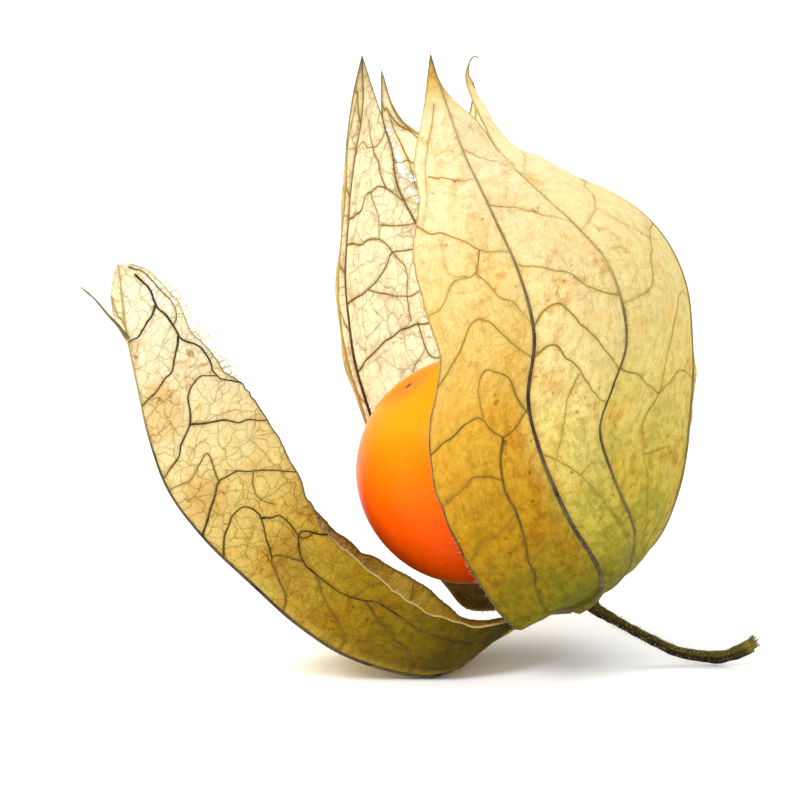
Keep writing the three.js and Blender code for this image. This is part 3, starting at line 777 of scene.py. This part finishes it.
def wornNet(mesh, patches, flatLayer, shareLayer):
    # inside a worn patch the paper is gone and only the fine net of veins is left
    marker = mesh.faces.layers.int.new("patch")
    chosen = []
    for face in mesh.faces:
        a, b = np.mean([loop[shareLayer].uv for loop in face.loops], axis=0)
        a = 2 * a - 1
        for patch in patches:
            rag = 0.35 * noise.noise(Vector((a * 9, b * 40, 3.1)))
            aside, above = (a - patch["at"][0]) / patch["reach"][0], (b - patch["at"][1]) / patch["reach"][1]
            if aside**2 + above**2 < 1 + rag:
                chosen.append((face, patch))
                break
    faces = {face for face, patch in chosen}
    inner = [edge for edge in mesh.edges if all(face in faces for face in edge.link_faces)]
    for face, patch in chosen:
        face[marker] = 1 + patches.index(patch)
    bmesh.ops.subdivide_edges(mesh, edges=inner, cuts=3, use_grid_fill=True)
    gone = []
    for face in mesh.faces:
        if face[marker] and len(face.verts) <= 4:
            patch = patches[face[marker] - 1]
            u, v = np.mean([loop[flatLayer].uv for loop in face.loops], axis=0)
            spot = Vector((u + 0.25 * noise.noise(Vector((u, v, 0)) * 1.6), v, 0)) / patch["cell"]
            gaps, cells = noise.voronoi(spot)
            kept = noise.cell(cells[0] * 7.3) < patch["kept"]
            if gaps[1] - gaps[0] > patch["thread"] and not kept:
                gone.append(face)
    bmesh.ops.delete(mesh, geom=gone, context="FACES")


def sepalPaper(name, shape, sepal):
    mesh = bmesh.new()
    flatLayer, shareLayer = mesh.loops.layers.uv.new("flat"), mesh.loops.layers.uv.new("shares")
    nearLayer = mesh.verts.layers.float.new("veinNear")
    made = bmesh.ops.create_grid(mesh, x_segments=husk["columns"], y_segments=husk["rows"], size=1)["verts"]
    across = np.array([vertex.co.x for vertex in made])
    along = np.array([(vertex.co.y + 1) / 2 for vertex in made]) * sepal.end
    base, normal = sepal.place(across, along)
    lines = [sepal.vein(points) for radius, dark, points in shape["veins"]]
    lines += [sepal.lineAlong(side, np.linspace(0, sepal.end, 80)) for side in (-1, 0, 1)]
    gap = nearness(base, lines)
    fade = risen(along, 10) * risen(1 - along, 14)
    quilt = husk["quilting"] * (1 - np.exp(-((gap / husk["quiltWidth"]) ** 2))) * fade
    folds = [noise.noise(Vector(p) * husk["crumpleScale"] + Vector((7, 3, 1))) for p in base]
    crumple = husk["crumple"] * (np.array(folds) * fade) * (1 - np.exp(-((gap / husk["crumpleWidth"]) ** 2)))
    base = base + normal * ((quilt + crumple) * risen(1 - np.abs(across), 12))[:, None]
    length = np.sum(np.linalg.norm(np.diff(sepal.midrib, axis=0), axis=1))
    spine = lineAt(sepal.midrib, along)
    reaches = (np.linalg.norm(lineAt(line, along) - spine, axis=1) for line in (sepal.left, sepal.right))
    width = np.where(across < 0, *reaches)
    mesh.verts.index_update()
    for face in mesh.faces:
        for loop in face.loops:
            i = loop.vert.index
            loop[flatLayer].uv = (across[i] * width[i], along[i] * length)
            loop[shareLayer].uv = ((across[i] + 1) / 2, along[i])
    for vertex, spot, gapHere in zip(made, base, gap):
        # nearness to a vein or rib, which the painted shade beside them goes by
        vertex[nearLayer] = math.exp(-((gapHere / paperLook["paintedVeinShadeWidth"]) ** 2))
        vertex.co = Vector(spot) * mm + home
    if name in wornPatches:
        wornNet(mesh, wornPatches[name], flatLayer, shareLayer)
    bmesh.ops.remove_doubles(mesh, verts=mesh.verts[:], dist=0.004 * mm)
    bmesh.ops.dissolve_degenerate(mesh, edges=mesh.edges[:], dist=0.002 * mm)
    paper = paperFinish(name, shape)
    piece = finishPiece(mesh, "sepal_" + name + "_paper", paper, closed=False)
    wall = piece.modifiers.new("paper thickness", "SOLIDIFY")
    wall.thickness, wall.offset = husk["paper"] * mm, 0
    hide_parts("sepal_" + name)


def fibreFinish(name, pale, dark, clear=0.0, paintedShading=0.0):
    # "tone" runs from pale to dark, clear lets light through where it is pale, and a shading share paints
    # undersides darker and tops paler: painted shade and light, by which way the surface faces
    f = Finish(name)
    place = f.out(f.node("TexCoord"), "Object")
    streak = f.noise(place, 900.0, 4.0, 0.65)
    patch = f.noise(place, 220.0, 3.0, 0.6)
    share = f.attribute("tone") + (streak - 0.5) * 0.4 + (patch - 0.5) * 0.45
    # painted shade and light: undersides darker and tops paler, by which way the surface faces at rest
    if paintedShading:
        facing = f.node("SeparateXYZ", Vector=f.out(f.node("NewGeometry"), "Normal"))
        share = share - f.out(facing, "Z") * paintedShading
    share = share.held()
    bump = f.node("Bump", Strength=0.6, Distance=0.05 * mm, Height=streak)
    colour = f.blend(share, tint(*pale), tint(*dark))
    shader = f.node("BsdfPrincipled", Base_Color=colour, Normal=f.out(bump), Roughness=0.7,
                    Specular_IOR_Level=0.1)
    if not clear:
        return f.finished(shader)
    through = f.node("BsdfTranslucent", Color=tint(250, 232, 170))
    return f.finished(f.node("MixShader", at0=(1 - share) * clear, at1=f.out(shader), at2=f.out(through)))


ribMaterial = fibreFinish("husk ribs", (206, 182, 110), (46, 32, 32), 0.25)
threadMaterial = fibreFinish("torn threads", (240, 234, 208), (170, 158, 120), 0.6)
veinMaterial = fibreFinish("husk veins", (190, 164, 62), (46, 36, 22), 0.6)
# the stem's bark gets painted shade on its underside and painted light on its top
stemMaterial = fibreFinish("stem bark", (118, 108, 28), (28, 18, 8), paintedShading=0.32)
hairMaterial = fibreFinish("fine hairs", (206, 194, 156), (98, 86, 56), 0.4)

# Radius at the stem, half way and at the tip.
ribLook = {
    "midrib": (0.27, 0.16, 0.06),
    "seam": (0.25, 0.14, 0.06),
    "torn": (0.13, 0.1, 0.06),
}


def ribRadii(kind, count):
    atStem, halfWay, atTip = ribLook[kind]
    return np.interp(np.linspace(0, 1, count), (0, 0.12, 0.5, 1), (atStem, atStem * 0.8, halfWay, atTip))


def sepalMidrib(name, shape, sepal, steps=120):
    mesh = newMesh()
    share = np.linspace(0, sepal.end, steps)
    tone = np.interp(share, *zip(*shape["midribTone"]))
    addTube(mesh, sepal.lineAlong(0, share), roughRadii(ribRadii("midrib", steps), 1), 8, tone)
    finishPiece(mesh, "sepal_" + name + "_midrib", ribMaterial)


def sepalVeins(name, shape, sepal):
    mesh = newMesh()
    for index, (radius, dark, points) in enumerate(shape["veins"]):
        path = sepal.vein(points)
        radius, dark = radius * shape["veinSize"], dark * shape["veinTone"]
        taper = np.interp(np.linspace(0, 1, len(path)), (0, 0.2, 1), (1.3, 1.1, 0.8)) * radius
        addTube(mesh, path, roughRadii(taper, index + 2), 6, dark)
    finishPiece(mesh, "sepal_" + name + "_veins", veinMaterial)


print("husk shape ready")
shapes = {name: Sepal(shape) for name, shape in sepals.items()}
for name, shape in sepals.items():
    sepalPaper(name, shape, shapes[name])
    sepalMidrib(name, shape, shapes[name])
    sepalVeins(name, shape, shapes[name])
    print("sepal made:", name)

# Seams between neighbours, and the torn edges: sepal, edge, kind, the step that it starts from, and how
# dark it is by the share along. Past the notch between two tips each tip has its own edge. The second
# sepal's edge starts there, because its lower part is the neighbour's seam.
edgeSteps, notchStep = 130, 75
edges = (
    ("front", "right", "seam", 0, ((0, 0.7), (0.2, 0.8), (0.5, 0.85), (0.58, 0.3), (0.9, 0.3), (1, 0.8))),
    ("right", "left", "seam", notchStep, ((0, 0.5), (0.9, 0.2), (1, 0.4))),
    ("right", "right", "seam", 0, ((0, 0.6), (0.5, 0.5), (1, 0.5))),
    ("back", "left", "seam", notchStep, ((0, 0.6), (0.5, 0.5), (1, 0.5))),
    ("back", "right", "seam", 0, ((0, 0.6), (0.5, 0.5), (1, 0.5))),
    ("left", "left", "seam", notchStep, ((0, 0.6), (0.5, 0.5), (1, 0.5))),
    ("front", "left", "torn", 0, ((0, 0.8), (0.45, 0.85), (0.6, 0.45), (0.9, 0.3), (1, 0.9))),
    ("left", "right", "torn", 0, ((0, 0.3), (0.4, 0.3), (0.75, 0.3), (1, 0.7))),
    ("peeled", "left", "torn", 0, ((0, 0.5), (0.5, 0.4), (1, 0.15))),
    ("peeled", "right", "torn", 0, ((0, 0.7), (0.12, 0.5), (0.2, 0.25), (0.42, 0.25), (0.5, 0.8),
                                    (0.74, 0.85), (0.8, 0.5), (1, 0.2))),
)


def huskSeams():
    mesh = newMesh()
    lines = []
    for name, edge, kind, first, dark in edges:
        share = np.linspace(0, shapes[name].end, edgeSteps)[first:]
        line = shapes[name].lineAlong(-1 if edge == "left" else 1, share)
        radii = ribRadii(kind, edgeSteps)[first:]
        addTube(mesh, line, roughRadii(radii, len(lines) + 5), 8, np.interp(share, *zip(*dark)))
        lines.append(line)
    finishPiece(mesh, "husk_seams", ribMaterial)
    return lines


edgeLines = huskSeams()
print("seams made")

draw = random.Random(21)
tornLook = {
    "route": [(-28.6, -2.2, 11.4), (-29.7, -2.1, 12.2), (-30.6, -2.3, 13.4), (-31.5, -2.3, 14.4),
              (-32.5, -2.2, 15.6), (-33.7, -2.2, 16.7)],
    "steps": 40,
    # first and last radius, seed, sides, tone and twist
    "strands": ((0.2, 0.07, 9, 8, 0.75, 0), (0.12, 0.04, 10, 6, 0.5, 1)),
    "threads": 40,
}


def tornFibre():
    # a thin fibre of the torn seam hangs off the peeled sepal near its tip
    mesh = newMesh()
    steps = tornLook["steps"]
    route = smoothLine(tornLook["route"], steps)
    away = np.array([0.12, 0.05, -0.1]) * np.sin(np.linspace(0, 5, steps))[:, None]
    for thick, thin, seed, sides, tone, twist in tornLook["strands"]:
        radii = roughRadii(np.linspace(thick, thin, steps), seed, 0.35)
        addTube(mesh, route + away * twist, radii, sides, tone)
    finishPiece(mesh, "torn_fibre", ribMaterial)


def tornThreads():
    # loose ends and loops along the peeled sepal's worn edge
    mesh = newMesh()
    share = np.linspace(0.75, 0.96, 120)
    edge, inner = (shapes["peeled"].lineAlong(across, share) for across in (1, 0.8))
    for index in range(tornLook["threads"]):
        first = draw.randrange(2, 108)
        last = min(117, first + draw.randrange(4, 12))
        out = edge[first] - inner[first]
        out = out / (np.linalg.norm(out) + 1e-9) * draw.uniform(0.3, 1.15)
        stray = np.array([draw.uniform(-0.35, 0.35) for _ in range(3)])
        bends = [edge[first], edge[first] + out * 0.8, (edge[first] + edge[last]) / 2 + out + stray]
        if index % 3:
            bends += [edge[last] + out * 0.7, edge[last]]
        else:
            bends += [edge[last] + out * 1.3 + stray]
        radius = draw.uniform(0.03, 0.045)
        addTube(mesh, smoothLine(bends, 14), np.full(14, radius), 4, draw.uniform(0.0, 0.6))
    finishPiece(mesh, "torn_threads", threadMaterial)


tornFibre()
tornThreads()
print("torn edges made")

berry = {
    "width": 20.0,
    "length": 19.8,
    "dimple": 0.35,
    "dimpleWidth": 2.2,
    "unevenness": 0.07,
    "paintedLightFrom": (-0.25, -0.1, 0.96),       # painted light: the skin is painted palest on this side, up and towards the key light, and darker red away from it as painted shade
    "colours": [(0.1, (184, 46, 0)), (0.5, (238, 84, 0)), (0.7, (250, 110, 0)), (0.88, (255, 144, 4))],
    "specks": (255, 150, 20),
    "freckles": (232, 96, 0),
    "styleRing": (214, 120, 10),
    "styleScar": (56, 34, 12),
    "roughness": 0.33,
    "specular": 0.06,
    "glow": 0.08,                     # share of the light that scatters under the skin
}


def berryFinish():
    f = Finish("berry skin")
    place = f.out(f.node("TexCoord"), "Object")
    broad = f.noise(place, 90.0, 2.0)
    fine = f.noise(place, 1500.0, 4.0, 0.6)
    dots = f.node("TexVoronoi", {"feature": "F1"}, Vector=place, Scale=1300.0)
    speck = 1 - f.between(f.out(dots, "Distance"), 0.1, 0.35)
    pole = f.attribute("styleEnd")
    # the ramp paints the orange skin paler on the lit side and darker red below: painted light and shade
    colour = f.ramp(f.attribute("sunSide") + (broad - 0.5) * 0.25, berry["colours"])
    for share, shade in (
        (speck * 0.12, "specks"),
        (f.between(fine, 0.5, 0.8) * 0.12, "freckles"),
        (f.between(pole, 0.3, 0.95), "styleRing"),
        (f.between(pole, 0.975, 0.995), "styleScar"),
    ):
        colour = f.blend(share, colour, tint(*berry[shade]))
    bump = f.node("Bump", Strength=0.25, Distance=0.03 * mm, Height=fine + speck * 0.4)
    shader = f.node("BsdfPrincipled", Base_Color=colour, Normal=f.out(bump), Roughness=berry["roughness"],
                    Specular_IOR_Level=berry["specular"], Subsurface_Weight=berry["glow"],
                    Subsurface_Scale=1.2 * mm, Subsurface_Radius=(1.0, 0.3, 0.05))
    return f.finished(shader)


def berrySkin():
    mesh = bmesh.new()
    styleLayer, paintedLightLayer = mesh.verts.layers.float.new("styleEnd"), mesh.verts.layers.float.new("sunSide")
    made = bmesh.ops.create_uvsphere(mesh, u_segments=96, v_segments=64, radius=1)["verts"]
    turn = Vector((0, 0, 1)).rotation_difference(Vector(husk["axis"]))
    for vertex in made:
        height, girth = vertex.co.z, math.hypot(vertex.co.x, vertex.co.y)
        vertex[styleLayer] = max(0, height) ** 20
        radius = berry["width"] / 2 * girth**0.97
        sunk = berry["dimple"] * math.exp(-((radius / berry["dimpleWidth"]) ** 2))
        swell = 1 + berry["unevenness"] / 10 * noise.noise(vertex.co * 1.6)
        angle = math.atan2(vertex.co.y, vertex.co.x)
        upright = (berry["length"] / 2 - sunk) * height
        spot = turn @ (Vector((radius * math.cos(angle), radius * math.sin(angle), upright)) * swell)
        vertex.co = spot * mm + home
        # how far this spot faces the side that gets the painted light
        vertex[paintedLightLayer] = 0.5 + 0.5 * spot.normalized().dot(Vector(berry["paintedLightFrom"]))
    piece = finishPiece(mesh, "berry_skin", berryFinish())
    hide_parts("berry")


berrySkin()
print("berry made")

stem = {
    "ridges": 7,
    "ridgeDepth": 0.09,
    "route": [(11.1, 0.3, -12.6), (12.3, 0.1, -13.3), (14.2, -0.3, -14.3), (16.2, -0.6, -15.3),
              (18.3, -1, -16.2), (20.4, -1.4, -16.5), (22.2, -1.7, -16.5), (23.7, -1.8, -16),
              (24.8, -1.9, -15.4)],
    "steps": 110,
    "radius": 0.4,
    "endFlare": 0.22,
    "huskFlare": 0.3,
    "frays": 26,
}
stemLine = smoothLine([tuple(huskCentre - 0.4 * huskAxis), *stem["route"]], stem["steps"])


def stemStalk():
    mesh = newMesh()
    along = np.linspace(0, 1, stem["steps"])
    radii = stem["radius"] + stem["endFlare"] * along**3 + stem["huskFlare"] * (1 - along) ** 12
    tone = np.interp(along, (0, 0.85, 0.95, 1), (0.85, 0.95, 0.85, 0.2))
    addTube(mesh, stemLine, roughRadii(radii, 2, 0.14, 4), 28, tone, stem["ridges"], stem["ridgeDepth"])
    ahead = stemLine[-1] - stemLine[-4]
    ahead /= np.linalg.norm(ahead)
    sides, overs = frameAlong(stemLine)
    for _ in range(stem["frays"]):
        angle, share = draw.uniform(0, 2 * math.pi), draw.uniform(0.3, 0.95)
        out = sides[-1] * math.cos(angle) + overs[-1] * math.sin(angle)
        start = stemLine[-1] + out * radii[-1] * share - ahead * 0.3
        lean = out * draw.uniform(-0.1, 0.35) + np.array([0, 0, draw.uniform(0, 0.3)])
        length = draw.uniform(0.5, 1.0)
        bends = [start, start + ahead * length * 0.6, start + (ahead + lean) * length]
        addTube(mesh, smoothLine(bends, 7), np.linspace(0.11, 0.04, 7), 6, draw.uniform(0.0, 0.6))
    piece = finishPiece(mesh, "stem_stalk", stemMaterial)
    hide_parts("stem")


def receptacle():
    # the pad that the sepals grow from, and the neck that carries the berry
    reach = float(np.linalg.norm(huskCentre)) - berry["length"] / 2 + berry["dimple"] - 0.05
    towardsBerry = Vector((0, 0, 1)).rotation_difference(Vector(tuple(-huskCentre)))
    mesh = newMesh()
    profile = [(0.0, -1.0), (0.8, -0.95), (1.6, -0.65), (1.85, -0.2), (1.9, 0.3), (1.7, 0.75), (1.2, 1.3),
               (1.05, 2.0), (1.1, reach - 0.9), (1.5, reach - 0.45), (1.55, reach - 0.1), (0.9, reach),
               (0.0, reach)]
    ends = [mesh.verts.new((radius, 0, height)) for radius, height in profile]
    outline = [mesh.edges.new(pair) for pair in zip(ends, ends[1:])]
    bmesh.ops.spin(mesh, geom=ends + outline, axis=(0, 0, 1), cent=(0, 0, 0), angle=2 * math.pi, steps=40,
                   use_merge=True)
    for vertex in mesh.verts:
        angle = math.atan2(vertex.co.y, vertex.co.x)
        bulge = 1 + 0.06 * math.cos(10 * angle)
        spot = Vector((vertex.co.x * bulge, vertex.co.y * bulge, vertex.co.z))
        vertex.co = (towardsBerry @ spot + Vector(husk["centre"])) * mm + home
    finishPiece(mesh, "receptacle", stemMaterial)


stemStalk()
receptacle()
print("stem made")

hairLook = {
    "stem": 800,          # how many
    "rib": 260,           # on each
    "thickness": 0.024,
    "tip": 0.003,
    "shortest": 0.2,
    "longest": 0.55,
    "longestOnRibs": 0.42,
    "hairyPart": 0.6,     # of each rib, from the stem
}


def addHair(mesh, root, direction, length, tone):
    turned = Vector((0, 0, 1)).rotation_difference(Vector(direction)).to_matrix().to_4x4()
    middle = (Vector(root) + Vector(direction) * length / 2) * mm + home
    made = bmesh.ops.create_cone(mesh, cap_ends=True, segments=3, radius1=hairLook["thickness"] * mm,
                                 radius2=hairLook["tip"] * mm, depth=length * mm,
                                 matrix=Matrix.Translation(middle) @ turned)
    layer = mesh.verts.layers.float["tone"]
    for vertex in made["verts"]:
        vertex[layer] = tone


def hairsAlong(mesh, line, count, radius, start=0.0, end=1.0, longest=hairLook["longest"]):
    sides, overs = frameAlong(line)
    ahead = np.gradient(line, axis=0)
    for _ in range(count):
        share = start + (end - start) * draw.random()
        i = min(len(line) - 1, int(share * len(line)))
        angle = draw.uniform(0, 2 * math.pi)
        out = sides[i] * math.cos(angle) + overs[i] * math.sin(angle)
        along = ahead[i] / np.linalg.norm(ahead[i])
        way = out + along * draw.uniform(-0.2, 0.9) + np.array([draw.uniform(-0.3, 0.3) for _ in range(3)])
        way = way / np.linalg.norm(way)
        tone = draw.uniform(0.0, 0.7)
        addHair(mesh, line[i] + out * radius * 0.8, way, draw.uniform(hairLook["shortest"], longest), tone)


def stemHairs():
    mesh = newMesh()
    hairsAlong(mesh, stemLine, hairLook["stem"], 0.45)
    finishPiece(mesh, "stem_hairs", hairMaterial, closed=False, smooth=False)


def ribHairs():
    # hairs grow only on the part of each rib nearest the stem
    mesh = newMesh()
    count, hairy, longest = hairLook["rib"], hairLook["hairyPart"], hairLook["longestOnRibs"]
    for line in edgeLines:
        hairsAlong(mesh, line, count, 0.12, 0.0, hairy, longest)
    for sepal in shapes.values():
        hairsAlong(mesh, sepal.lineAlong(0, np.linspace(0, 1, 150)), count, 0.16, 0.02, hairy, longest)
    finishPiece(mesh, "rib_hairs", hairMaterial, closed=False, smooth=False)


stemHairs()
ribHairs()
print("hairs made")

studio = {
    "floor": (0.94, 0.94, 0.94, 1),
    "floorSize": 3,           # metres
    "brightness": 0.95,
    "keyLight": ((-0.28, -0.26, 0.42), 0.22, 2.5),      # place in metres, size and power
    "backLight": ((0.16, 0.36, 0.4), 0.3, 1.7),
    "elevation": 12.0,
    "distance": 390.0,
    "lens": 200.0,
    "sensor": 36,
    "aside": 6.14,            # the berry stands this far right of and below the middle of the view
}


def floorFinish():
    f = Finish("floor")
    return f.finished(f.node("BsdfPrincipled", Base_Color=studio["floor"], Roughness=0.6,
                             Specular_IOR_Level=0.2))


def addFloor():
    mesh = bmesh.new()
    bmesh.ops.create_grid(mesh, x_segments=1, y_segments=1, size=studio["floorSize"])
    data = bpy.data.meshes.new("floor")
    mesh.to_mesh(data)
    mesh.free()
    data.materials.append(floorFinish())
    floor = bpy.data.objects.new("floor", data)
    bpy.context.scene.collection.objects.link(floor)


def addWorld():
    world = bpy.data.worlds.new("studio")
    world.use_nodes = True
    background = world.node_tree.nodes["Background"]
    background.inputs["Color"].default_value = (1, 1, 1, 1)
    background.inputs["Strength"].default_value = studio["brightness"]
    bpy.context.scene.world = world


def softLight(name, place, size, power):
    lamp = bpy.data.lights.new(name, "AREA")
    lamp.shape, lamp.size, lamp.energy = "SQUARE", size, power
    made = bpy.data.objects.new(name, lamp)
    bpy.context.scene.collection.objects.link(made)
    made.location = place
    made.rotation_euler = (home + Vector((0, 0, 0.01)) - Vector(place)).to_track_quat("-Z", "Y").to_euler()


def addCamera():
    tilt = math.radians(studio["elevation"])
    forward = Vector((0, math.cos(tilt), -math.sin(tilt)))
    upward = Vector((0, math.sin(tilt), math.cos(tilt)))
    camera = bpy.data.objects.new("camera", bpy.data.cameras.new("camera"))
    bpy.context.scene.collection.objects.link(camera)
    camera.data.lens, camera.data.sensor_width = studio["lens"], studio["sensor"]
    camera.data.clip_start, camera.data.clip_end = 0.01, 10
    shifted = Vector((-studio["aside"], 0, 0)) + upward * studio["aside"]
    camera.location = home + (shifted - forward * studio["distance"]) * mm
    camera.rotation_mode = "QUATERNION"
    camera.rotation_quaternion = forward.to_track_quat("-Z", "Y")
    bpy.context.scene.camera = camera


addFloor()
addWorld()
softLight("key light", *studio["keyLight"])
softLight("back light", *studio["backLight"])
addCamera()
bpy.context.scene.view_settings.view_transform = "Standard"
print("studio ready")
